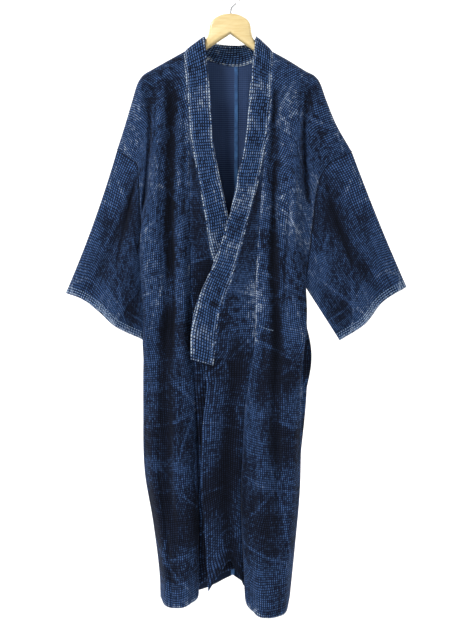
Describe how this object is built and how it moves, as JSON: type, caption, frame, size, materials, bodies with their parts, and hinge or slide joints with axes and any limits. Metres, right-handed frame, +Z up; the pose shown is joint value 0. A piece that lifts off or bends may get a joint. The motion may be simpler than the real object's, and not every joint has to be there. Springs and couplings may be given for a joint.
{
  "type": "yukata on a hanger",
  "caption": "Indigo cotton yukata, worn-in woven cloth, closed with the left front on top, hanging on a plain wooden hanger.",
  "frame": {"origin": "the inside top of the hanger's hook, where a rail or a wall hook holds it", "axes": "+Z up along the garment's height, +X to the viewer's right, which is the wearer's left, and +Y from the front to the back"},
  "size_m": [0.784, 0.1253, 1.4374],
  "materials": {
    "cloth": "heavy indigo cotton with small pale woven dashes, matt",
    "collar_cloth": "the same cotton, worn paler at the edges",
    "strip_cloth": "plain bright blue cotton",
    "wood": "pale varnished wood",
    "wire": "bright plated wire"
  },
  "bodies": {
    "root": {"body_right_front": "cloth", "body_right_back": "cloth", "body_left_front": "cloth", "body_left_back": "cloth", "overlap_right": "cloth", "overlap_left": "cloth", "sleeve_right": "cloth", "sleeve_left": "cloth", "collar": "collar_cloth", "back_seam_strip": "strip_cloth", "hanger_wood": "wood", "hanger_hook": "wire"}
  },
  "joints": []
}
